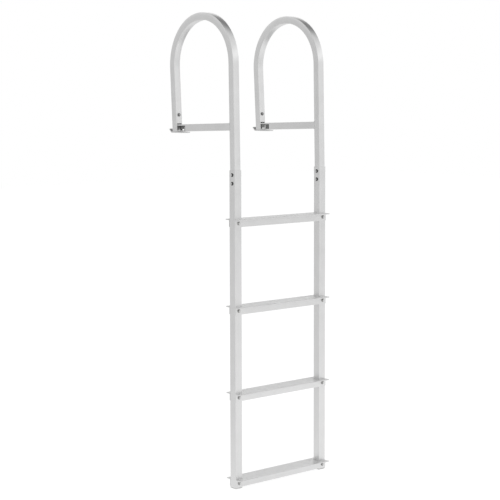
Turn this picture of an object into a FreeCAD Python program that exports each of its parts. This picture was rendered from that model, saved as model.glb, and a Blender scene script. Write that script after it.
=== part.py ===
import FreeCAD, Part
import math
import os

os.makedirs("parts", exist_ok=True)

# A dock ladder. Two square rails go down into the water and carry the treads.
# A bent handrail slides into the top of each rail and arches over the edge of
# the dock. Its leg drops over the tongue of a folded bracket on the dock. A
# brace joins the upright to the leg and rests on the bracket, and a latch in
# the windows at its dock end reaches into the leg.
# X runs along the treads, Y in over the dock, Z up, all in millimetres.
# The origin is on the underside of the left dock bracket, below the leg.

# Rails
rail_spacing = 400.0
rail_size = 30.0
rail_wall = 1.8
rail_chamfer = 0.5
rail_top_z = -126.0
rail_bottom_z = -1258.0

# Handrails
slide_gap = 0.2
handrail_size = rail_size - 2 * rail_wall - 2 * slide_gap
handrail_wall = 1.8
handrail_chamfer = 0.5
handrail_insert = 95.0
kink_radius = 400.0
upright_lean = 1.1
bend_radius = 172.0
arch_top_z = 431.0
leg_lean = 3.2

leg_slot_width = 20.8
leg_slot_low_z = 27.0
leg_slot_top_z = 34.2
leg_slot_play = 1.0

# Dock brackets
plate_thickness = 4.0
plate_width = 28.0
plate_front = 58.0
plate_back = 16.0
lip_length = 14.0
lip_angle = 42.0
fold_radius = 5.0
tongue_width = 20.0
tongue_thickness = 4.0
tongue_height = 78.0
seat_gap = 0.3

# Holes for the dock screws
screw_spacing = 24.0
screw_middle_y = -36.0
screw_hole_radius = 3.3
screw_sink_radius = 5.3
screw_sink_depth = 2.0

# Braces
brace_size = 26.0
brace_wall = 1.8
brace_chamfer = 0.5
brace_rise = 1.6
brace_lift = 0.5
window_start = 15.0
window_length = 49.0
window_strip = 4.0

# Latches, on the side of each brace that faces the other brace
latch_inside = 4.4
latch_outside = 10.0
latch_gap = 0.3
latch_end = 6.0
latch_nose_low_z = 13.5
latch_nose_front = 30.0
latch_foot_width = 5.0
latch_first_foot = 46.0
latch_second_foot = 56.0
latch_arm = 6.0
latch_pin_radius = 2.0
latch_pin_y = -34.0
latch_pin_clearance = 0.1

# Treads
tread_count = 4
tread_pitch = 310.0
tread_top_z = -297.5
tread_front = 38.5
tread_back = 37.0
tread_plate = 4.0
tread_height = 27.5
flange_wall = 2.6
nose_radius = 1.9
groove_count = 11
groove_pitch = 5.6
groove_width = 1.8
groove_depth = 0.7

# Bolts, whose shanks and holes have flat sides to keep the meshes light
bar_sides = 16
bolt_radius = 2.5
bolt_hole_radius = 2.7
bolt_head_radius = 4.6
bolt_head_height = 5.5
bolt_nut_height = 5.5
bolt_end = 2.0
bolt_seat = 0.05
splice_bolt_drop = 16.0
splice_bolt_pitch = 30.0
tread_bolt_drop = 14.0
leg_bolt_z = 65.0

# Rail plugs
plug_flange = 3.0
plug_depth = 10.0
plug_gap = 0.3
plug_chamfer = 0.6

sides = ("left", "right")
rail_x = (0.0, rail_spacing)
along_x = FreeCAD.Vector(1, 0, 0)
along_y = FreeCAD.Vector(0, 1, 0)
along_z = FreeCAD.Vector(0, 0, 1)
start = FreeCAD.Vector(0, 0, 0)


def export(name, shape):
    shape.exportStep("parts/" + name + ".step")


def at(shape, x, y, z):
    copy = shape.copy()
    copy.translate(FreeCAD.Vector(x, y, z))
    return copy


def turned(shape, axis, angle):
    copy = shape.copy()
    copy.rotate(start, axis, angle)
    return copy


def square(size, chamfer):
    """A square outline with its corners cut off, centred on the Z axis."""
    half = size / 2
    near = half - chamfer
    corners = [(half, -near), (half, near), (near, half), (-near, half),
               (-half, near), (-half, -near), (-near, -half), (near, -half)]
    points = [FreeCAD.Vector(x, y, 0) for x, y in corners]
    return Part.Face(Part.makePolygon(points + points[:1]))


def tube(size, wall, chamfer):
    """The section of a square tube, sharp in its inner corners."""
    inner = size - 2 * wall
    hollow = Part.makePlane(inner, inner, FreeCAD.Vector(-inner / 2, -inner / 2, 0))
    return square(size, chamfer).cut(hollow).Faces[0]


def bar(sides, radius, height):
    """A bar along Z with flat sides, measured over its corners."""
    corners = []
    for side in range(sides):
        turn = math.radians(360 / sides * side)
        corners.append(FreeCAD.Vector(radius * math.cos(turn), radius * math.sin(turn), 0))
    return Part.Face(Part.makePolygon(corners + corners[:1])).extrude(FreeCAD.Vector(0, 0, height))


def drilled(shape, radius, centre, axis, length):
    """A bolt hole of this length, centred on a point."""
    hole = at(bar(bar_sides, radius, length), 0, 0, -length / 2)
    hole.Placement = FreeCAD.Placement(centre, FreeCAD.Rotation(along_z, axis)) * hole.Placement
    return shape.cut(hole)


def through_bolt(grip):
    """A bolt along Z whose head and nut clamp a stack from 0 to grip."""
    head = at(bar(6, bolt_head_radius, bolt_head_height), 0, 0, -bolt_seat - bolt_head_height)
    nut = at(bar(6, bolt_head_radius, bolt_nut_height), 0, 0, grip + bolt_seat)
    shank = at(bar(bar_sides, bolt_radius, bolt_head_height / 2 + grip + bolt_nut_height + bolt_end),
               0, 0, -bolt_head_height / 2)
    return head.fuse(shank).fuse(nut).removeSplitter()


# The path of a handrail in the YZ plane, with its upright over Y = 0 at first.
# A point and a direction are carried along it: the direction is the angle from
# straight up, turning towards the dock.
def step_along(point, angle, length):
    turn = math.radians(angle)
    return point + FreeCAD.Vector(0, math.sin(turn), math.cos(turn)) * length


def bend_centre(point, angle, radius):
    return step_along(point, angle + 90, radius)


def bend_end(point, angle, radius, turn):
    centre = bend_centre(point, angle, radius)
    return step_along(centre, angle + turn - 90, radius)


upright_start = FreeCAD.Vector(0, 0, rail_top_z - handrail_insert)
kink_start = FreeCAD.Vector(0, 0, rail_top_z + slide_gap)
kink_end = bend_end(kink_start, 0, kink_radius, upright_lean)
bend_top_drop = bend_radius * (1 - math.sin(math.radians(upright_lean)))
bend_start_z = arch_top_z - handrail_size / 2 - bend_top_drop
upright_length = (bend_start_z - kink_end.z) / math.cos(math.radians(upright_lean))
bend_start = step_along(kink_end, upright_lean, upright_length)
bend_turn = 180 + leg_lean - upright_lean
leg_start = bend_end(bend_start, upright_lean, bend_radius, bend_turn)
foot_z = plate_thickness + seat_gap
leg_length = (leg_start.z - foot_z) / math.cos(math.radians(leg_lean))
leg_end = step_along(leg_start, 180 + leg_lean, leg_length)
rail_y = -leg_end.y


def along_path(section, reach):
    """Sweep a section along the whole handrail, past its foot by reach."""
    def placed(point, angle):
        return at(turned(section, along_x, -angle), point.x, point.y, point.z)

    def straight(point, angle, length):
        return placed(point, angle).extrude(step_along(start, angle, length))

    def bent(point, angle, radius, turn):
        return placed(point, angle).revolve(bend_centre(point, angle, radius), along_x, -turn)

    pieces = [
        straight(upright_start, 0, kink_start.z - upright_start.z),
        bent(kink_start, 0, kink_radius, upright_lean),
        straight(kink_end, upright_lean, upright_length),
        bent(bend_start, upright_lean, bend_radius, bend_turn),
        straight(leg_start, 180 + leg_lean, leg_length + reach),
    ]
    return pieces[0].multiFuse(pieces[1:]).removeSplitter()


# Handrails. The front wall of each leg has a slot across it that runs down to
# the foot on the side of the latch, so the leg drops past the latch's nose.
whole = along_path(tube(handrail_size, handrail_wall, handrail_chamfer), handrail_size)
outline = along_path(square(handrail_size + 2 * seat_gap, handrail_chamfer), handrail_size)
under = Part.makeBox(4 * handrail_size, 4 * handrail_size, 4 * handrail_size,
                     FreeCAD.Vector(-2 * handrail_size, leg_end.y - 2 * handrail_size, foot_z - 4 * handrail_size))
handrail = at(whole.cut(under), 0, rail_y, 0)
slot_front = -handrail_size / 2 - handrail_wall
slot_depth = 4 * handrail_wall
slot = Part.makeBox(leg_slot_width, slot_depth, leg_slot_top_z - leg_slot_low_z,
                    FreeCAD.Vector(-leg_slot_width / 2, slot_front, leg_slot_low_z))
slot_inside = latch_inside - leg_slot_play
entry = Part.makeBox(leg_slot_width / 2 - slot_inside, slot_depth, leg_slot_top_z,
                     FreeCAD.Vector(slot_inside, slot_front, 0))
handrail = handrail.cut(slot.fuse(entry))
leg_across = FreeCAD.Vector(0, math.cos(math.radians(leg_lean)), -math.sin(math.radians(leg_lean)))
leg_bolt_y = (leg_bolt_z - foot_z) * math.tan(math.radians(leg_lean))
for i in range(2):
    centre = FreeCAD.Vector(0, rail_y, rail_top_z - splice_bolt_drop - i * splice_bolt_pitch)
    handrail = drilled(handrail, bolt_hole_radius, centre, along_x, 2 * rail_size)
handrail = drilled(handrail, bolt_hole_radius, FreeCAD.Vector(0, leg_bolt_y, leg_bolt_z),
                   leg_across, 2 * handrail_size)
export("left_handrail", handrail)
export("right_handrail", at(handrail.mirror(start, along_x), rail_spacing, 0, 0))

# Rails
rail = at(tube(rail_size, rail_wall, rail_chamfer).extrude(FreeCAD.Vector(0, 0, rail_top_z - rail_bottom_z)),
          0, rail_y, rail_bottom_z)
for i in range(2):
    centre = FreeCAD.Vector(0, rail_y, rail_top_z - splice_bolt_drop - i * splice_bolt_pitch)
    rail = drilled(rail, bolt_hole_radius, centre, along_x, 2 * rail_size)
for i in range(tread_count):
    centre = FreeCAD.Vector(0, rail_y, tread_top_z - i * tread_pitch - tread_bolt_drop)
    rail = drilled(rail, bolt_hole_radius, centre, along_y, 2 * rail_size)
for side, x in zip(sides, rail_x):
    export(side + "_rail", at(rail, x, 0, 0))

# Rail plugs
inside = rail_size - 2 * rail_wall - 2 * plug_gap
plug = square(inside, plug_chamfer).extrude(FreeCAD.Vector(0, 0, plug_depth))
cap = square(rail_size, rail_chamfer).extrude(FreeCAD.Vector(0, 0, -plug_flange + bolt_seat))
plug = plug.fuse(at(cap, 0, 0, -bolt_seat)).fuse(
    square(inside, plug_chamfer).extrude(FreeCAD.Vector(0, 0, -plug_flange))).removeSplitter()
for side, x in zip(sides, rail_x):
    export(side + "_rail_plug", at(plug, x, rail_y, rail_bottom_z))

# Splice bolts, with their heads on the outer faces of the rails
for i, level in enumerate(("upper", "lower")):
    z = rail_top_z - splice_bolt_drop - i * splice_bolt_pitch
    for side, x, angle in zip(sides, rail_x, (90, -90)):
        bolt = at(through_bolt(rail_size), 0, 0, -rail_size / 2)
        export(side + "_splice_bolt_" + level, at(turned(bolt, along_y, angle), x, rail_y, z))

# Treads: one extruded section, notched round both rails at each end
tread_length = rail_spacing + rail_size
seat = rail_size / 2 + seat_gap
tread = Part.makeBox(tread_length, tread_front + tread_back, tread_plate,
                     FreeCAD.Vector(-rail_size / 2, -tread_front, -tread_plate))
long_edges = [edge for edge in tread.Edges if edge.Length > tread_length - 1]
tread = tread.makeFillet(nose_radius, long_edges)
for y in (-seat - flange_wall, seat):
    flange = Part.makeBox(tread_length, flange_wall, tread_height - tread_plate / 2,
                          FreeCAD.Vector(-rail_size / 2, y, -tread_height))
    tread = tread.fuse(flange)
tread = tread.removeSplitter()
for i in range(groove_count):
    y = (tread_back - tread_front) / 2 + (i - (groove_count - 1) / 2) * groove_pitch
    groove = Part.makeBox(tread_length, groove_width, groove_depth * 2,
                          FreeCAD.Vector(-rail_size / 2, y - groove_width / 2, -groove_depth))
    tread = tread.cut(groove)
for x in rail_x:
    notch = Part.makeBox(rail_size + 2 * seat_gap, 2 * seat, 2 * tread_height,
                         FreeCAD.Vector(x - rail_size / 2 - seat_gap, -seat, -1.5 * tread_height))
    tread = tread.cut(notch)
    tread = drilled(tread, bolt_hole_radius, FreeCAD.Vector(x, 0, -tread_bolt_drop), along_y, 3 * rail_size)
tread_grip = 2 * (seat + flange_wall)
tread_bolt = turned(at(through_bolt(tread_grip), 0, 0, -tread_grip / 2), along_x, -90)
for i in range(tread_count):
    name = "tread_" + str(i + 1)
    z = tread_top_z - i * tread_pitch
    export(name, at(tread, 0, rail_y, z))
    for side, x in zip(sides, rail_x):
        export(name + "_bolt_" + side, at(tread_bolt, x, rail_y, z - tread_bolt_drop))

# Braces: a square tube between the upright and the leg, with a window through
# both side walls at the dock end and holes for the latch pin
slope = math.tan(math.radians(brace_rise))
brace_low_z = plate_thickness + brace_lift
brace_axis_z = brace_low_z + brace_size / 2
overshoot = 2 * handrail_size
brace = tube(brace_size, brace_wall, brace_chamfer).extrude(FreeCAD.Vector(0, 0, overshoot * 2 - rail_y))
brace = at(turned(brace, along_x, 90 - brace_rise), 0, overshoot,
           brace_axis_z - (overshoot + handrail_size / 2) * slope)
brace = brace.cut(at(outline, 0, rail_y, 0))
brace = min(brace.Solids, key=lambda solid: abs(solid.CenterOfMass.y - rail_y / 2))
window = Part.makeBox(2 * brace_size, window_length, brace_size - 2 * window_strip,
                      FreeCAD.Vector(-brace_size, -window_start - window_length, brace_low_z + window_strip + slope))
brace = brace.cut(window)
latch_x = (latch_inside + latch_outside) / 2
pin_low_z = brace_low_z - (latch_pin_y + handrail_size / 2) * slope
pin_foot = FreeCAD.Vector(latch_x, latch_pin_y, pin_low_z)
brace = drilled(brace, latch_pin_radius + latch_pin_clearance, pin_foot, along_z, 3 * brace_size)
export("left_brace", brace)
export("right_brace", at(brace.mirror(start, along_x), rail_spacing, 0, 0))

# Latches: a flat piece with an arm along the brace, two feet and a nose in the leg
floor_z = brace_low_z + brace_wall + latch_gap - handrail_size / 2 * slope
latch_top_z = brace_low_z + brace_size - brace_wall - latch_gap
arm_low_z = latch_top_z - latch_arm
profile = [(-latch_end, latch_top_z), (-latch_end, latch_nose_low_z), (-latch_nose_front, latch_nose_low_z),
           (-latch_nose_front, arm_low_z)]
for foot in (latch_first_foot, latch_second_foot):
    foot_low_z = floor_z + foot * slope
    profile += [(latch_foot_width - foot, arm_low_z), (latch_foot_width - foot, foot_low_z),
                (-foot, foot_low_z), (-foot, arm_low_z)]
profile[-1] = (-latch_second_foot, latch_top_z)
points = [FreeCAD.Vector(latch_inside, y, z) for y, z in profile]
latch = Part.Face(Part.makePolygon(points + points[:1])).extrude(
    FreeCAD.Vector(latch_outside - latch_inside, 0, 0))
latch = drilled(latch, latch_pin_radius + latch_pin_clearance, pin_foot, along_z, 3 * brace_size)
export("left_latch", latch)
export("right_latch", at(latch.mirror(start, along_x), rail_spacing, 0, 0))

# Latch pins, between the top and bottom walls of the braces
pin = at(bar(bar_sides, latch_pin_radius, brace_size), pin_foot.x, pin_foot.y, pin_foot.z)
export("left_latch_pin", pin)
export("right_latch_pin", at(pin.mirror(start, along_x), rail_spacing, 0, 0))

# Dock brackets: a plate folded up into a lip at the dock end, with a tongue
# that stands inside the leg against its back wall and takes the leg bolt
plate = Part.makeBox(plate_width, plate_front + plate_back, plate_thickness,
                     FreeCAD.Vector(-plate_width / 2, -plate_front, 0))
fold_axis = FreeCAD.Vector(0, plate_back, fold_radius + plate_thickness)
end_face = Part.makePlane(plate_width, plate_thickness, FreeCAD.Vector(-plate_width / 2, plate_back, 0),
                          FreeCAD.Vector(0, -1, 0), FreeCAD.Vector(1, 0, 0))
fold = end_face.revolve(fold_axis, along_x, lip_angle)
lip = end_face.extrude(FreeCAD.Vector(0, lip_length, 0))
lip.rotate(fold_axis, along_x, lip_angle)
tongue_back = handrail_size / 2 - handrail_wall - seat_gap
tongue = Part.makeBox(tongue_width, tongue_thickness, tongue_height - plate_thickness / 2,
                      FreeCAD.Vector(-tongue_width / 2, tongue_back - tongue_thickness, plate_thickness / 2))
tongue.rotate(FreeCAD.Vector(0, 0, foot_z), along_x, -leg_lean)
bracket = plate.multiFuse([fold, lip, tongue]).removeSplitter()
bracket = drilled(bracket, bolt_hole_radius, FreeCAD.Vector(0, leg_bolt_y, leg_bolt_z),
                  leg_across, 2 * handrail_size)
for y in (screw_middle_y - screw_spacing / 2, screw_middle_y + screw_spacing / 2):
    hole = Part.makeCylinder(screw_hole_radius, plate_thickness, FreeCAD.Vector(0, y, 0))
    sink = Part.makeCone(screw_hole_radius, screw_sink_radius, screw_sink_depth,
                         FreeCAD.Vector(0, y, plate_thickness - screw_sink_depth))
    bracket = bracket.cut(hole.fuse(sink))
for side, x in zip(sides, rail_x):
    export(side + "_dock_bracket", at(bracket, x, 0, 0))

# Leg bolts, through the leg and the tongue
leg_bolt = turned(at(through_bolt(handrail_size), 0, 0, -handrail_size / 2), along_x, -90 - leg_lean)
for side, x in zip(sides, rail_x):
    export(side + "_leg_bolt", at(leg_bolt, x, leg_bolt_y, leg_bolt_z))
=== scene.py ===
import bpy
import math
from mathutils import Matrix, Vector


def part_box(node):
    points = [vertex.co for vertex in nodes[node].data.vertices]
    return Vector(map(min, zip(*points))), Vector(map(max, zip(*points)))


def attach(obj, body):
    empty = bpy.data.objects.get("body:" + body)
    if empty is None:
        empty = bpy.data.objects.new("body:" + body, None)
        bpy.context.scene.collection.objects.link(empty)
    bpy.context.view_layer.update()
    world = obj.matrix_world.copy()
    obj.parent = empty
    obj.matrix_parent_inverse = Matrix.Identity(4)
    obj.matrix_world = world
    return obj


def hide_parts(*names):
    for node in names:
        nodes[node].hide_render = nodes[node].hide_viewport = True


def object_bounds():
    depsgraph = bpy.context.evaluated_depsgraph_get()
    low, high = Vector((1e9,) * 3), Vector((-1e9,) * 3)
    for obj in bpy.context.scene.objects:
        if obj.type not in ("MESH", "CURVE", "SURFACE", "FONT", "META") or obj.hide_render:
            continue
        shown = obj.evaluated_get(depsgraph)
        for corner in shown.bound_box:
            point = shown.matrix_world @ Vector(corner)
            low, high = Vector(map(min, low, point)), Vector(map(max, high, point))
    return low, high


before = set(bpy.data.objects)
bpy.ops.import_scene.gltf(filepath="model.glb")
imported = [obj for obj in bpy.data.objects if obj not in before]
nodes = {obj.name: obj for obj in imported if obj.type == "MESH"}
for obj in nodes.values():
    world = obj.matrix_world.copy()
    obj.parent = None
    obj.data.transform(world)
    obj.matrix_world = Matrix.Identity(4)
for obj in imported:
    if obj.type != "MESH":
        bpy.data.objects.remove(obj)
cad_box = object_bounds()
bpy.ops.object.select_all(action="DESELECT")

# Camera: the photograph's viewpoint, low and in front of the left rail, looking
# down by five degrees with a long lens. The lens is shifted because the picture
# was cropped with its optical axis above the middle.
camera_place = Vector((-2.98857, -4.03768, 0.12616))
camera_heading = math.radians(39.545)
camera_dip = math.radians(4.917)
camera_roll = math.radians(-0.15)
forward = Vector((math.sin(camera_heading) * math.cos(camera_dip),
                  math.cos(camera_heading) * math.cos(camera_dip), -math.sin(camera_dip)))
level = Vector((math.cos(camera_heading), -math.sin(camera_heading), 0))
upright = level.cross(forward)
across = level * math.cos(camera_roll) + upright * math.sin(camera_roll)
upwards = upright * math.cos(camera_roll) - level * math.sin(camera_roll)
bpy.ops.object.camera_add()
camera = bpy.context.object
camera.name = "camera"
turned = Matrix((across, upwards, -forward)).transposed().to_4x4()
camera.matrix_world = Matrix.Translation(camera_place) @ turned
camera.data.sensor_width = 36
camera.data.lens = 97.8355
camera.data.shift_y = -0.07
camera.data.clip_end = 60
bpy.context.scene.camera = camera
bpy.context.scene.view_settings.view_transform = "Standard"

# Room: the camera sees a white backdrop. The metal mirrors a soft room, brightest in
# front, with a dark screen high up on the right and a bright panel lower down behind.
# Each of these has a direction, the edge and core of its patch, and a brightness.
room_back = 0.76
room_front = 0.96
towards_front = (0.64, -0.77, 0)
dark_screen = ((0.6, 0.24, 0.763), 0.87, 0.98, 0.26)
bright_panel = ((0.535, 0.645, 0.545), 0.9, 0.975, 1.35)
world = bpy.data.worlds.new("studio")
bpy.context.scene.world = world
world.use_nodes = True
tree = world.node_tree
tree.nodes.clear()
ray = tree.nodes.new("ShaderNodeLightPath")
backdrop = tree.nodes.new("ShaderNodeBackground")
backdrop.inputs["Color"].default_value = (1, 1, 1, 1)
backdrop.inputs["Strength"].default_value = 1
view = tree.nodes.new("ShaderNodeTexCoord")
frontness = tree.nodes.new("ShaderNodeVectorMath")
frontness.operation = "DOT_PRODUCT"
frontness.inputs[1].default_value = towards_front
tree.links.new(view.outputs["Generated"], frontness.inputs[0])
walls = tree.nodes.new("ShaderNodeMapRange")
walls.inputs["From Min"].default_value = -1
walls.inputs["From Max"].default_value = 1
tree.links.new(frontness.outputs["Value"], walls.inputs["Value"])
wall_tone = tree.nodes.new("ShaderNodeValToRGB")
wall_tone.color_ramp.elements[0].color = (room_back, room_back, room_back, 1)
wall_tone.color_ramp.elements[1].color = (room_front, room_front, room_front, 1)
for position, brightness in ((0.385, 0.62), (0.6, 0.84)):
    stop = wall_tone.color_ramp.elements.new(position)
    stop.color = (brightness, brightness, brightness, 1)
tree.links.new(walls.outputs["Result"], wall_tone.inputs["Fac"])
height = tree.nodes.new("ShaderNodeSeparateXYZ")
tree.links.new(view.outputs["Generated"], height.inputs[0])
ceiling = tree.nodes.new("ShaderNodeValToRGB")
ceiling.color_ramp.elements[0].position = 0.16
ceiling.color_ramp.elements[0].color = (0.95, 0.95, 0.95, 1)
ceiling.color_ramp.elements[1].position = 1
ceiling.color_ramp.elements[1].color = (0.9, 0.9, 0.9, 1)
for position, brightness in ((0.25, 1.42), (0.33, 1.4), (0.48, 1.0)):
    stop = ceiling.color_ramp.elements.new(position)
    stop.color = (brightness, brightness, brightness, 1)
tree.links.new(height.outputs["Z"], ceiling.inputs["Fac"])
strength = tree.nodes.new("ShaderNodeMath")
strength.operation = "MULTIPLY"
tree.links.new(wall_tone.outputs["Color"], strength.inputs[0])
tree.links.new(ceiling.outputs["Color"], strength.inputs[1])
room_light = strength.outputs[0]
for direction, edge, core, factor in (dark_screen, bright_panel):
    nearness = tree.nodes.new("ShaderNodeVectorMath")
    nearness.operation = "DOT_PRODUCT"
    nearness.inputs[1].default_value = direction
    tree.links.new(view.outputs["Generated"], nearness.inputs[0])
    patch = tree.nodes.new("ShaderNodeMapRange")
    patch.interpolation_type = "SMOOTHSTEP"
    patch.inputs["From Min"].default_value = edge
    patch.inputs["From Max"].default_value = core
    patch.inputs["To Min"].default_value = 1
    patch.inputs["To Max"].default_value = factor
    tree.links.new(nearness.outputs["Value"], patch.inputs["Value"])
    patched = tree.nodes.new("ShaderNodeMath")
    patched.operation = "MULTIPLY"
    tree.links.new(room_light, patched.inputs[0])
    tree.links.new(patch.outputs["Result"], patched.inputs[1])
    room_light = patched.outputs[0]
room = tree.nodes.new("ShaderNodeBackground")
room.inputs["Color"].default_value = (1, 1, 1, 1)
tree.links.new(room_light, room.inputs["Strength"])
mix = tree.nodes.new("ShaderNodeMixShader")
out = tree.nodes.new("ShaderNodeOutputWorld")
tree.links.new(ray.outputs["Is Camera Ray"], mix.inputs["Fac"])
tree.links.new(room.outputs[0], mix.inputs[1])
tree.links.new(backdrop.outputs[0], mix.inputs[2])
tree.links.new(mix.outputs[0], out.inputs["Surface"])

# Floor: just below the rails' feet. The camera sees it nearly white with the object's
# shadow. To the metal it glows instead with painted light, brightest just in front,
# with a painted shade patch behind on the right.
floor_size = 30
floor_gap = 0.0002
floor_middle = (0.2, -0.34, cad_box[0][2] - floor_gap)
painted_shade_place = (1.7, 0.34, 0)
bpy.ops.mesh.primitive_plane_add(size=floor_size, location=floor_middle)
floor = bpy.context.object
floor.name = "floor"
paint = bpy.data.materials.new("floor_white")
paint.use_nodes = True
tree = paint.node_tree
tree.nodes.clear()
ray = tree.nodes.new("ShaderNodeLightPath")
shadow_catch = tree.nodes.new("ShaderNodeBsdfDiffuse")
shadow_catch.inputs["Color"].default_value = (0.2, 0.2, 0.2, 1)
glow = tree.nodes.new("ShaderNodeEmission")
glow.inputs["Strength"].default_value = 0.888
bright = tree.nodes.new("ShaderNodeAddShader")
tree.links.new(shadow_catch.outputs[0], bright.inputs[0])
tree.links.new(glow.outputs[0], bright.inputs[1])
place = tree.nodes.new("ShaderNodeTexCoord")
ahead = tree.nodes.new("ShaderNodeVectorMath")
ahead.operation = "DOT_PRODUCT"
ahead.inputs[1].default_value = towards_front
tree.links.new(place.outputs["Object"], ahead.inputs[0])
reach = tree.nodes.new("ShaderNodeMapRange")
reach.inputs["From Min"].default_value = -floor_size / 2
reach.inputs["From Max"].default_value = floor_size / 2
tree.links.new(ahead.outputs["Value"], reach.inputs["Value"])
# Painted reflection: the floor glows for the metal, brightest in a band just in front.
painted_floor_glow = tree.nodes.new("ShaderNodeValToRGB")
painted_floor_glow.color_ramp.elements[0].position = 0.2
painted_floor_glow.color_ramp.elements[0].color = (0.765, 0.765, 0.765, 1)
painted_floor_glow.color_ramp.elements[1].position = 0.8
painted_floor_glow.color_ramp.elements[1].color = (0.84, 0.84, 0.84, 1)
for position, brightness in ((0.457, 0.87), (0.5, 1.0), (0.543, 1.09), (0.6, 1.0), (0.66, 0.92)):
    stop = painted_floor_glow.color_ramp.elements.new(position)
    stop.color = (brightness, brightness, brightness, 1)
tree.links.new(reach.outputs["Result"], painted_floor_glow.inputs["Fac"])
# Painted shade: the glow is dimmed in a patch on the floor behind on the right.
from_patch = tree.nodes.new("ShaderNodeVectorMath")
from_patch.operation = "DISTANCE"
from_patch.inputs[1].default_value = painted_shade_place
tree.links.new(place.outputs["Object"], from_patch.inputs[0])
painted_shade_patch = tree.nodes.new("ShaderNodeMapRange")
painted_shade_patch.inputs["From Min"].default_value = 0.3
painted_shade_patch.inputs["From Max"].default_value = 1.1
painted_shade_patch.inputs["To Min"].default_value = 0.5
tree.links.new(from_patch.outputs["Value"], painted_shade_patch.inputs["Value"])
painted_reflection_glow = tree.nodes.new("ShaderNodeEmission")
tree.links.new(painted_floor_glow.outputs["Color"], painted_reflection_glow.inputs["Color"])
tree.links.new(painted_shade_patch.outputs["Result"], painted_reflection_glow.inputs["Strength"])
pale = tree.nodes.new("ShaderNodeBsdfDiffuse")
pale.inputs["Color"].default_value = (0.75, 0.75, 0.75, 1)
to_metal = tree.nodes.new("ShaderNodeMixShader")
tree.links.new(ray.outputs["Is Glossy Ray"], to_metal.inputs["Fac"])
tree.links.new(pale.outputs[0], to_metal.inputs[1])
tree.links.new(painted_reflection_glow.outputs[0], to_metal.inputs[2])
to_camera = tree.nodes.new("ShaderNodeMixShader")
tree.links.new(ray.outputs["Is Camera Ray"], to_camera.inputs["Fac"])
tree.links.new(to_metal.outputs[0], to_camera.inputs[1])
tree.links.new(bright.outputs[0], to_camera.inputs[2])
out = tree.nodes.new("ShaderNodeOutputMaterial")
tree.links.new(to_camera.outputs[0], out.inputs["Surface"])
floor.data.materials.append(paint)

# Lamps: a strong one on the left and a weak one on the right, both large and soft.
# They light the plastic and cast the shadow, and the metal doesn't mirror them.
lamp_size = 2.5
lamp_target = Vector((0.2, -0.2, -0.4))
for name, place, power in (("key_lamp", (-4.4, -2.6, 1.2), 110), ("side_lamp", (4.0, -2.5, 2.0), 40)):
    bpy.ops.object.light_add(type="AREA", location=place)
    lamp = bpy.context.object
    lamp.name = name
    lamp.data.size = lamp_size
    lamp.data.energy = power
    lamp.visible_glossy = False
    lamp.rotation_euler = (lamp_target - Vector(place)).to_track_quat("-Z", "Y").to_euler()

# Rails: two square tubes of extruded aluminium, sawn to length and drilled. The
# die leaves fine lines along them, and handling leaves them slightly cloudy.
# Each copy of a solid is merged and gets its sharp edges rounded.
rail_edge = 0.00025
bend_limit = math.radians(32)
flat_limit = math.radians(0.5)
same_point = 0.000005
lines_along_z = (900, 900, 3)


def extruded_aluminium(name, stretch, deep, pale, attribute=None):
    """Bare metal whose fine lines run in the direction of the smallest stretch."""
    metal = bpy.data.materials.new(name)
    metal.use_nodes = True
    tree = metal.node_tree
    shader = tree.nodes["Principled BSDF"]
    shader.inputs["Metallic"].default_value = 1
    place = tree.nodes.new("ShaderNodeTexCoord")
    along = place.outputs["Object"]
    if attribute:
        follow = tree.nodes.new("ShaderNodeAttribute")
        follow.attribute_name = attribute
        along = follow.outputs["Vector"]
    mapping = tree.nodes.new("ShaderNodeMapping")
    mapping.inputs["Scale"].default_value = stretch
    tree.links.new(along, mapping.inputs["Vector"])
    lines = tree.nodes.new("ShaderNodeTexNoise")
    lines.inputs["Scale"].default_value = 1
    lines.inputs["Detail"].default_value = 4
    lines.inputs["Roughness"].default_value = 0.65
    tree.links.new(mapping.outputs["Vector"], lines.inputs["Vector"])
    cloud = tree.nodes.new("ShaderNodeTexNoise")
    cloud.inputs["Scale"].default_value = 22
    cloud.inputs["Detail"].default_value = 3
    tree.links.new(place.outputs["Object"], cloud.inputs["Vector"])
    both = tree.nodes.new("ShaderNodeMix")
    both.data_type = "FLOAT"
    both.inputs["Factor"].default_value = 0.5
    tree.links.new(lines.outputs["Fac"], both.inputs["A"])
    tree.links.new(cloud.outputs["Fac"], both.inputs["B"])
    tone = tree.nodes.new("ShaderNodeValToRGB")
    tone.color_ramp.elements[0].position = 0.3
    tone.color_ramp.elements[0].color = (deep, deep, deep, 1)
    tone.color_ramp.elements[1].position = 0.7
    tone.color_ramp.elements[1].color = (pale, pale, pale, 1)
    tree.links.new(both.outputs["Result"], tone.inputs["Fac"])
    tree.links.new(tone.outputs["Color"], shader.inputs["Base Color"])
    gloss = tree.nodes.new("ShaderNodeMapRange")
    gloss.inputs["From Min"].default_value = 0.3
    gloss.inputs["From Max"].default_value = 0.7
    gloss.inputs["To Min"].default_value = 0.28
    gloss.inputs["To Max"].default_value = 0.38
    tree.links.new(both.outputs["Result"], gloss.inputs["Value"])
    tree.links.new(gloss.outputs["Result"], shader.inputs["Roughness"])
    scratches = tree.nodes.new("ShaderNodeBump")
    scratches.inputs["Strength"].default_value = 0.06
    scratches.inputs["Distance"].default_value = 0.0001
    tree.links.new(lines.outputs["Fac"], scratches.inputs["Height"])
    tree.links.new(scratches.outputs["Normal"], shader.inputs["Normal"])
    return metal


def merged(node):
    """A copy of a solid as one clean surface, alone in the selection."""
    piece = bpy.data.objects.new(node + "_finished", nodes[node].data.copy())
    bpy.context.scene.collection.objects.link(piece)
    bpy.ops.object.select_all(action="DESELECT")
    piece.select_set(True)
    bpy.context.view_layer.objects.active = piece
    bpy.ops.object.mode_set(mode="EDIT")
    bpy.ops.mesh.select_all(action="SELECT")
    bpy.ops.mesh.remove_doubles(threshold=same_point)
    bpy.ops.mesh.dissolve_limited(angle_limit=flat_limit)
    bpy.ops.object.mode_set(mode="OBJECT")
    return piece


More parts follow.
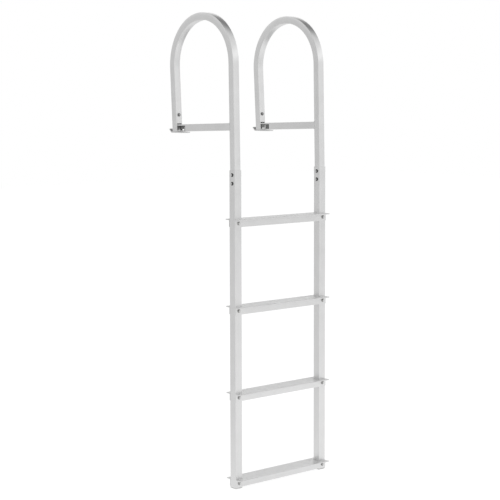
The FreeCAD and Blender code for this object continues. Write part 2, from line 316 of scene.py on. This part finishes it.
def rounded(piece, width, segments=2):
    """Round the sharp edges of the selected piece, smooth its bends and keep its flats flat."""
    rounding = piece.modifiers.new("rounding", "BEVEL")
    rounding.width = width
    rounding.segments = segments
    rounding.limit_method = "ANGLE"
    rounding.angle_limit = bend_limit
    bpy.ops.object.modifier_apply(modifier="rounding")
    bpy.ops.object.mode_set(mode="EDIT")
    bpy.ops.mesh.select_all(action="SELECT")
    bpy.ops.mesh.dissolve_degenerate(threshold=same_point)
    bpy.ops.object.mode_set(mode="OBJECT")
    bpy.ops.object.shade_smooth_by_angle(angle=bend_limit)
    flats = piece.modifiers.new("flats", "WEIGHTED_NORMAL")
    flats.keep_sharp = True
    bpy.ops.object.modifier_apply(modifier="flats")
    return piece


def finished(piece, material, node=None):
    """Fix a piece to the ladder in its material, in place of a solid if one is named."""
    piece.data.materials.clear()
    piece.data.materials.append(material)
    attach(piece, "root")
    if node:
        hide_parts(node)


rail_metal = extruded_aluminium("rail_aluminium", lines_along_z, 0.69, 0.76)
for side in ("left", "right"):
    node = side + "_rail"
    finished(rounded(merged(node), rail_edge), rail_metal, node)

# Rail plugs: grey plastic caps, moulded with a fine matt skin and rounded edges,
# and pushed into the foot of each rail.
plug_edge = 0.0005


def moulded_plastic(name, dark, light, roughness):
    """Matt plastic with soft flow marks in its colour and a fine grain in its skin."""
    plastic = bpy.data.materials.new(name)
    plastic.use_nodes = True
    tree = plastic.node_tree
    shader = tree.nodes["Principled BSDF"]
    shader.inputs["Specular IOR Level"].default_value = 0.4
    place = tree.nodes.new("ShaderNodeTexCoord")
    flow = tree.nodes.new("ShaderNodeTexNoise")
    flow.inputs["Scale"].default_value = 60
    flow.inputs["Detail"].default_value = 2
    tree.links.new(place.outputs["Object"], flow.inputs["Vector"])
    tone = tree.nodes.new("ShaderNodeValToRGB")
    tone.color_ramp.elements[0].position = 0.35
    tone.color_ramp.elements[0].color = dark
    tone.color_ramp.elements[1].position = 0.65
    tone.color_ramp.elements[1].color = light
    tree.links.new(flow.outputs["Fac"], tone.inputs["Fac"])
    tree.links.new(tone.outputs["Color"], shader.inputs["Base Color"])
    grain = tree.nodes.new("ShaderNodeTexNoise")
    grain.inputs["Scale"].default_value = 2500
    grain.inputs["Detail"].default_value = 2
    tree.links.new(place.outputs["Object"], grain.inputs["Vector"])
    sheen = tree.nodes.new("ShaderNodeMapRange")
    sheen.inputs["To Min"].default_value = roughness - 0.06
    sheen.inputs["To Max"].default_value = roughness + 0.06
    tree.links.new(grain.outputs["Fac"], sheen.inputs["Value"])
    tree.links.new(sheen.outputs["Result"], shader.inputs["Roughness"])
    skin = tree.nodes.new("ShaderNodeBump")
    skin.inputs["Strength"].default_value = 0.25
    skin.inputs["Distance"].default_value = 0.0001
    tree.links.new(grain.outputs["Fac"], skin.inputs["Height"])
    tree.links.new(skin.outputs["Normal"], shader.inputs["Normal"])
    return plastic


plug_plastic = moulded_plastic("plug_plastic", (0.5, 0.5, 0.49, 1), (0.58, 0.58, 0.57, 1), 0.5)
for side in ("left", "right"):
    node = side + "_rail_plug"
    finished(rounded(merged(node), plug_edge), plug_plastic, node)

# Handrails: square tube that slides into the rail, kinked just above it and bent
# over the dock in one sweep. The front wall of the leg is slotted for the latch.
# The tube is drawn along its path here, so that the bend is smooth.
rail_spacing = 0.4
rail_top_z = -0.126
tube_size = 0.026
tube_wall = 0.0018
tube_corner = 0.0005
tube_insert = 0.095
slide_gap = 0.0002
kink_radius = 0.4
kink_steps = 4
upright_lean = math.radians(1.1)
bend_radius = 0.172
bend_steps = 120
arch_top_z = 0.431
leg_lean = math.radians(3.2)
foot_z = 0.0043
slot_width = 0.0208
slot_low_z = 0.027
slot_top_z = 0.0342
slot_inside = 0.0034
corner_limit = math.radians(28)

rail_y = sum(corner[1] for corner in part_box("left_rail")) / 2
kink_start = Vector((0, rail_y, rail_top_z + slide_gap))
kink_centre = kink_start + Vector((0, kink_radius, 0))
kink_end = kink_centre + Vector((0, -math.cos(upright_lean), math.sin(upright_lean))) * kink_radius
rise = Vector((0, math.sin(upright_lean), math.cos(upright_lean)))
bend_start_z = arch_top_z - tube_size / 2 - bend_radius * (1 - math.sin(upright_lean))
upright_length = (bend_start_z - kink_end.z) / rise.z
bend_centre = kink_end + rise * upright_length + Vector((0, rise.z, -rise.y)) * bend_radius
bend_turn = math.pi + leg_lean - upright_lean
fall = Vector((0, -math.sin(leg_lean), -math.cos(leg_lean)))
leg_start = bend_centre + Vector((0, math.cos(leg_lean), -math.sin(leg_lean))) * bend_radius
leg_length = (foot_z - leg_start.z) / fall.z

bpy.ops.object.select_all(action="DESELECT")
bpy.ops.mesh.primitive_plane_add(size=tube_size, location=(0, rail_y, rail_top_z - tube_insert))
handrail = bpy.context.object
handrail.name = "left_handrail_tube"
bpy.ops.object.transform_apply(location=True, rotation=True, scale=True)
bpy.ops.object.mode_set(mode="EDIT")
bpy.ops.mesh.select_all(action="SELECT")
bpy.ops.mesh.bevel(offset=tube_corner, segments=3, affect="VERTICES")
bpy.ops.mesh.select_all(action="SELECT")
bpy.ops.mesh.delete(type="ONLY_FACE")
bpy.ops.mesh.select_all(action="SELECT")
bpy.ops.mesh.extrude_edges_move(TRANSFORM_OT_translate={"value": (0, 0, tube_insert + slide_gap)})
bpy.ops.mesh.spin(steps=kink_steps, angle=upright_lean, center=kink_centre, axis=(1, 0, 0))
bpy.ops.mesh.extrude_edges_move(TRANSFORM_OT_translate={"value": rise * upright_length})
bpy.ops.mesh.spin(steps=bend_steps, angle=bend_turn, center=bend_centre, axis=(1, 0, 0))
bpy.ops.mesh.extrude_edges_move(TRANSFORM_OT_translate={"value": fall * (leg_length + tube_size / 4)})
bpy.ops.mesh.select_all(action="SELECT")
bpy.ops.mesh.remove_doubles(threshold=same_point)
bpy.ops.mesh.select_all(action="DESELECT")
bpy.ops.object.mode_set(mode="OBJECT")
for vertex in handrail.data.vertices:
    vertex.select = vertex.co.y > bend_centre.y
bpy.ops.object.mode_set(mode="EDIT")
bpy.ops.mesh.select_mode(type="VERT")
bpy.ops.mesh.bisect(plane_co=(0, 0, foot_z), plane_no=(0, 0, 1), clear_inner=True)
bpy.ops.mesh.select_all(action="SELECT")
bpy.ops.mesh.normals_make_consistent(inside=False)
bpy.ops.object.mode_set(mode="OBJECT")
wall = handrail.modifiers.new("wall", "SOLIDIFY")
wall.thickness = tube_wall
wall.offset = -1
wall.use_even_offset = True
bpy.ops.object.modifier_apply(modifier="wall")

slot_front = -tube_size / 2 - tube_wall
slot_depth = 4 * tube_wall
slot_across = (-slot_width / 2, slot_low_z, slot_width / 2, slot_top_z)
slot_down = (slot_inside, foot_z - tube_wall, slot_width / 2, slot_low_z + tube_wall)
for left, low, right, top in (slot_across, slot_down):
    middle = ((left + right) / 2, slot_front + slot_depth / 2, (low + top) / 2)
    bpy.ops.mesh.primitive_cube_add(size=1, scale=(right - left, slot_depth, top - low), location=middle)
    cutter = bpy.context.object
    bpy.ops.object.select_all(action="DESELECT")
    handrail.select_set(True)
    bpy.context.view_layer.objects.active = handrail
    slot = handrail.modifiers.new("slot", "BOOLEAN")
    slot.operation = "DIFFERENCE"
    slot.solver = "EXACT"
    slot.object = cutter
    bpy.ops.object.modifier_apply(modifier="slot")
    bpy.data.objects.remove(cutter)

# The die lines follow the bend: each point keeps its place across the tube and
# its distance along it.
run = handrail.data.attributes.new("run", "FLOAT_VECTOR", "POINT")
for vertex, place in zip(handrail.data.vertices, run.data):
    out_from = vertex.co - bend_centre
    if out_from.z > 0:
        place.vector = (vertex.co.x, math.hypot(out_from.y, out_from.z) - bend_radius,
                        math.atan2(out_from.z, -out_from.y) * bend_radius)
    elif out_from.y < 0:
        place.vector = (vertex.co.x, -out_from.y + out_from.z * rise.y - bend_radius, out_from.z)
    else:
        place.vector = (vertex.co.x, out_from.y + out_from.z * fall.y - bend_radius,
                        math.pi * bend_radius - out_from.z)
bpy.ops.object.shade_smooth_by_angle(angle=corner_limit)
handrail_metal = extruded_aluminium("handrail_aluminium", lines_along_z, 0.7, 0.78, "run")
other_handrail = handrail.copy()
other_handrail.name = "right_handrail_tube"
other_handrail.data = handrail.data.copy()
bpy.context.scene.collection.objects.link(other_handrail)
other_handrail.data.transform(Matrix.Translation((rail_spacing, 0, 0)) @ Matrix.Scale(-1, 4, (1, 0, 0)))
other_handrail.data.flip_normals()
finished(handrail, handrail_metal, "left_handrail")
finished(other_handrail, handrail_metal, "right_handrail")

# Splice bolts: two hexagon bolts through each rail and the tube inside it, with
# black nylon washers under the heads and nuts. One bolt and one pair of washers
# are modelled for each thickness that is clamped, and then copied.
head_corner = 0.0046
head_top = 0.0038
head_height = 0.0046
hexagon_turn = math.radians(30)
hexagon_edge = 0.00015
chamfer_angle = math.radians(30)
washer_radius = 0.0066
washer_thickness = 0.0009
seat_gap = 0.00005
shank_radius = 0.0025
shank_end = 0.002
thread_pitch = 0.0008
thread_root = 0.84
thread_limit = math.radians(25)
sliver = 0.00001
end_facing = 0.9
splice_drop = 0.016
splice_pitch = 0.03
rail_size = 0.03


def hexagon_block(z, turned_over):
    """A bolt head or nut on the Z axis, with the corners of its outer face chamfered."""
    bpy.ops.mesh.primitive_cylinder_add(vertices=6, radius=head_corner, depth=head_height,
                                        location=(0, 0, z), rotation=(0, 0, hexagon_turn))
    block = bpy.context.object
    corners = block.modifiers.new("corners", "BEVEL")
    corners.width = hexagon_edge
    corners.segments = 2
    bpy.ops.object.modifier_apply(modifier="corners")
    cone_base = head_top + head_height / math.tan(chamfer_angle)
    tilt = math.pi if turned_over else 0
    bpy.ops.mesh.primitive_cone_add(vertices=48, radius1=cone_base, radius2=head_top,
                                    depth=head_height, location=(0, 0, z), rotation=(tilt, 0, 0))
    cone = bpy.context.object
    bpy.ops.object.select_all(action="DESELECT")
    block.select_set(True)
    bpy.context.view_layer.objects.active = block
    chamfer = block.modifiers.new("chamfer", "BOOLEAN")
    chamfer.operation = "INTERSECT"
    chamfer.solver = "EXACT"
    chamfer.object = cone
    bpy.ops.object.modifier_apply(modifier="chamfer")
    bpy.data.objects.remove(cone)
    return block


def hexagon_bolt(grip):
    """A bolt along Z whose washers touch a stack from 0 to grip."""
    off = seat_gap + washer_thickness
    head = hexagon_block(-off - head_height / 2, True)
    nut = hexagon_block(grip + off + head_height / 2, False)
    length = off + grip + off + head_height
    bpy.ops.mesh.primitive_cylinder_add(vertices=24, radius=shank_radius, depth=length,
                                        location=(0, 0, length / 2 - off))
    shank = bpy.context.object
    bpy.ops.object.mode_set(mode="EDIT")
    bpy.ops.mesh.select_all(action="DESELECT")
    bpy.ops.mesh.select_mode(type="FACE")
    bpy.ops.object.mode_set(mode="OBJECT")
    for face in shank.data.polygons:
        face.select = face.normal.z > end_facing
    bpy.ops.object.mode_set(mode="EDIT")
    for ridge in range(int(shank_end / thread_pitch)):
        for width in (thread_root, 1 / thread_root):
            bpy.ops.mesh.extrude_region_move(TRANSFORM_OT_translate={"value": (0, 0, thread_pitch / 2)})
            bpy.ops.transform.resize(value=(width, width, 1))
    bpy.ops.mesh.extrude_region_move(TRANSFORM_OT_translate={"value": (0, 0, thread_pitch / 2)})
    bpy.ops.transform.resize(value=(thread_root, thread_root, 1))
    bpy.ops.object.mode_set(mode="OBJECT")
    head.select_set(True)
    nut.select_set(True)
    bpy.ops.object.join()
    bpy.ops.object.transform_apply(location=True, rotation=True, scale=True)
    bpy.ops.object.mode_set(mode="EDIT")
    bpy.ops.mesh.select_all(action="SELECT")
    bpy.ops.mesh.dissolve_degenerate(threshold=sliver)
    bpy.ops.mesh.dissolve_limited(angle_limit=flat_limit)
    bpy.ops.object.mode_set(mode="OBJECT")
    bpy.ops.object.shade_smooth_by_angle(angle=thread_limit)
    return bpy.context.object


def washer_pair(grip):
    """The two washers of a bolt, each a flat ring with rounded rims."""
    rings = []
    for z in (-seat_gap - washer_thickness / 2, grip + seat_gap + washer_thickness / 2):
        bpy.ops.mesh.primitive_cylinder_add(vertices=40, radius=washer_radius, depth=washer_thickness,
                                            location=(0, 0, z))
        ring = bpy.context.object
        bpy.ops.object.mode_set(mode="EDIT")
        bpy.ops.mesh.select_all(action="DESELECT")
        bpy.ops.mesh.select_mode(type="FACE")
        bpy.ops.object.mode_set(mode="OBJECT")
        for face in ring.data.polygons:
            face.select = abs(face.normal.z) > end_facing
        bpy.ops.object.mode_set(mode="EDIT")
        bpy.ops.mesh.inset(thickness=washer_radius - shank_radius - slide_gap)
        bpy.ops.mesh.bridge_edge_loops()
        bpy.ops.object.mode_set(mode="OBJECT")
        rings.append(ring)
    for ring in rings:
        ring.select_set(True)
    bpy.ops.object.join()
    bpy.ops.object.transform_apply(location=True, rotation=True, scale=True)
    return rounded(bpy.context.object, washer_thickness / 4)


def turned_steel(name, dark, light, roughness):
    """Fastener steel with small stains in its colour and gloss."""
    steel = bpy.data.materials.new(name)
    steel.use_nodes = True
    tree = steel.node_tree
    shader = tree.nodes["Principled BSDF"]
    shader.inputs["Metallic"].default_value = 1
    place = tree.nodes.new("ShaderNodeTexCoord")
    stain = tree.nodes.new("ShaderNodeTexNoise")
    stain.inputs["Scale"].default_value = 700
    stain.inputs["Detail"].default_value = 3
    tree.links.new(place.outputs["Object"], stain.inputs["Vector"])
    tone = tree.nodes.new("ShaderNodeValToRGB")
    tone.color_ramp.elements[0].position = 0.35
    tone.color_ramp.elements[0].color = dark
    tone.color_ramp.elements[1].position = 0.65
    tone.color_ramp.elements[1].color = light
    tree.links.new(stain.outputs["Fac"], tone.inputs["Fac"])
    tree.links.new(tone.outputs["Color"], shader.inputs["Base Color"])
    gloss = tree.nodes.new("ShaderNodeMapRange")
    gloss.inputs["To Min"].default_value = roughness - 0.08
    gloss.inputs["To Max"].default_value = roughness + 0.08
    tree.links.new(stain.outputs["Fac"], gloss.inputs["Value"])
    tree.links.new(gloss.outputs["Result"], shader.inputs["Roughness"])
    return steel


def bolted(node, bolt, steel, washers, nylon, place, axis, angle, grip):
    """Put copies of a bolt and its washers with the middle of their grip at a place."""
    turned = Matrix.Translation(place) @ Matrix.Rotation(angle, 4, axis)
    stand = turned @ Matrix.Translation((0, 0, -grip / 2))
    for model, suffix, slot, material in ((bolt, "_steel", "bolts", steel),
                                          (washers, "_washers", "latches", nylon)):
        piece = model.copy()
        piece.name = node + suffix
        piece.data = model.data.copy()
        piece.data.transform(stand)
        bpy.context.scene.collection.objects.link(piece)
        finished(piece, material, node if model == bolt else None)


bolt_steel = turned_steel("bolt_steel", (0.52, 0.52, 0.52, 1), (0.7, 0.7, 0.7, 1), 0.3)
black_nylon = moulded_plastic("black_nylon", (0.02, 0.02, 0.02, 1), (0.035, 0.035, 0.035, 1), 0.45)
splice_bolt = hexagon_bolt(rail_size)
splice_washers = washer_pair(rail_size)
for side, x, turn in (("left", 0, math.pi / 2), ("right", rail_spacing, -math.pi / 2)):
    for drop, which in ((0, "upper"), (splice_pitch, "lower")):
        bolted(side + "_splice_bolt_" + which, splice_bolt, bolt_steel, splice_washers, black_nylon,
               (x, rail_y, rail_top_z - splice_drop - drop), "Y", turn, rail_size)
bpy.data.objects.remove(splice_bolt)
bpy.data.objects.remove(splice_washers)

# Treads: four lengths of one extruded section, with anti-slip grooves on top and
# two flanges below, notched round the rails at both ends.
tread_edge = 0.00015
tread_count = 4
lines_along_x = (3, 900, 900)
tread_metal = extruded_aluminium("tread_aluminium", lines_along_x, 0.69, 0.76)
for number in range(1, tread_count + 1):
    node = "tread_" + str(number)
    finished(rounded(merged(node), tread_edge, 1), tread_metal, node)

# Tread bolts: one through both flanges and each rail, with its head in front and
# washers of pale nylon.
tread_bolt_drop = 0.014
flange_wall = 0.0026
flange_gap = 0.0003
tread_grip = rail_size + 2 * (flange_gap + flange_wall)
pale_nylon = moulded_plastic("pale_nylon", (0.36, 0.36, 0.35, 1), (0.44, 0.44, 0.43, 1), 0.45)
tread_bolt = hexagon_bolt(tread_grip)
tread_washers = washer_pair(tread_grip)
for number in range(1, tread_count + 1):
    top_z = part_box("tread_" + str(number))[1][2]
    for side, x in (("left", 0), ("right", rail_spacing)):
        bolted("tread_" + str(number) + "_bolt_" + side, tread_bolt, bolt_steel, tread_washers, pale_nylon,
               (x, rail_y, top_z - tread_bolt_drop), "X", -math.pi / 2, tread_grip)
bpy.data.objects.remove(tread_bolt)
bpy.data.objects.remove(tread_washers)

# Braces: lengths of square tube from the upright to the leg. Side windows at the
# dock end hold the latch, and a rippled weld bead joins the other end to the
# upright all round.
brace_edge = 0.00025
bead_radius = 0.0016
bead_step = 0.0013
lines_along_y = (900, 3, 900)
even_specks = (700, 700, 700)
brace_metal = extruded_aluminium("brace_aluminium", lines_along_y, 0.7, 0.77)
weld_metal = extruded_aluminium("weld_aluminium", even_specks, 0.58, 0.78)
for side, x in (("left", 0), ("right", rail_spacing)):
    node = side + "_brace"
    finished(rounded(merged(node), brace_edge), brace_metal, node)
    end_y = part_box(node)[0][1]
    end = [vertex.co for vertex in nodes[node].data.vertices if vertex.co.y < end_y + tube_size / 4]
    low_z = min(point.z for point in end)
    top_z = max(point.z for point in end)
    left = x - tube_size / 2
    right = x + tube_size / 2
    corners = [(left, low_z), (right, low_z), (right, top_z), (left, top_z), (left, low_z)]
    beads = []
    for (x0, z0), (x1, z1) in zip(corners, corners[1:]):
        count = round(math.hypot(x1 - x0, z1 - z0) / bead_step)
        for i in range(count):
            part = i / count
            bead_z = z0 + (z1 - z0) * part
            bead_y = end_y + (bead_z - low_z) * math.tan(upright_lean)
            beads.append((x0 + (x1 - x0) * part, bead_y, bead_z))
    bpy.ops.object.select_all(action="DESELECT")
    bpy.ops.mesh.primitive_ico_sphere_add(subdivisions=2, radius=bead_radius, location=beads[0])
    bpy.ops.object.transform_apply(location=True, rotation=True, scale=True)
    weld = bpy.context.object
    weld.name = side + "_brace_weld"
    ripples = [weld]
    for place in beads[1:]:
        ripple = weld.copy()
        ripple.data = weld.data.copy()
        ripple.data.transform(Matrix.Translation(Vector(place) - Vector(beads[0])))
        bpy.context.scene.collection.objects.link(ripple)
        ripple.select_set(True)
    bpy.context.view_layer.objects.active = weld
    bpy.ops.object.join()
    bpy.ops.object.shade_smooth()
    finished(weld, weld_metal)

# Dock brackets: aluminium plate folded up at its dock end, with two countersunk
# holes for the dock screws and a tongue that stands inside the leg.
bracket_edge = 0.0004
short_lines = (40, 900, 900)
bracket_metal = extruded_aluminium("plate_aluminium", short_lines, 0.62, 0.72)
for side in ("left", "right"):
    node = side + "_dock_bracket"
    finished(rounded(merged(node), bracket_edge), bracket_metal, node)

# Leg bolts: one through each leg and the bracket's tongue inside it, of darker
# steel, with its head on the face towards the water.
leg_bolt_z = 0.065
dull_steel = turned_steel("dull_steel", (0.28, 0.28, 0.28, 1), (0.4, 0.4, 0.4, 1), 0.4)
grey_nylon = moulded_plastic("grey_nylon", (0.18, 0.18, 0.18, 1), (0.24, 0.24, 0.24, 1), 0.45)
leg_bolt = hexagon_bolt(tube_size)
leg_washers = washer_pair(tube_size)
leg_bolt_y = (leg_bolt_z - foot_z) * math.tan(leg_lean)
for side, x in (("left", 0), ("right", rail_spacing)):
    bolted(side + "_leg_bolt", leg_bolt, dull_steel, leg_washers, grey_nylon,
           (x, leg_bolt_y, leg_bolt_z), "X", -math.pi / 2 - leg_lean, tube_size)
bpy.data.objects.remove(leg_bolt)
bpy.data.objects.remove(leg_washers)

# Latches: dark grey plastic, moulded in one piece with a sunk panel on each side.
# Each lies in its brace with its nose in the slot of the leg, on a steel pin.
latch_edge = 0.0003
panel_margin = 0.0013
panel_depth = 0.0006
latch_plastic = moulded_plastic("latch_plastic", (0.15, 0.15, 0.15, 1), (0.2, 0.2, 0.2, 1), 0.5)
for side in ("left", "right"):
    node = side + "_latch"
    latch = merged(node)
    for face in latch.data.polygons:
        face.select = abs(face.normal.x) > end_facing
    bpy.ops.object.mode_set(mode="EDIT")
    bpy.ops.mesh.select_mode(type="FACE")
    bpy.ops.mesh.inset(thickness=panel_margin, depth=-panel_depth)
    bpy.ops.object.mode_set(mode="OBJECT")
    finished(rounded(latch, latch_edge), latch_plastic, node)
    pin = nodes[side + "_latch_pin"]
    pin.data.materials.clear()
    pin.data.materials.append(bolt_steel)
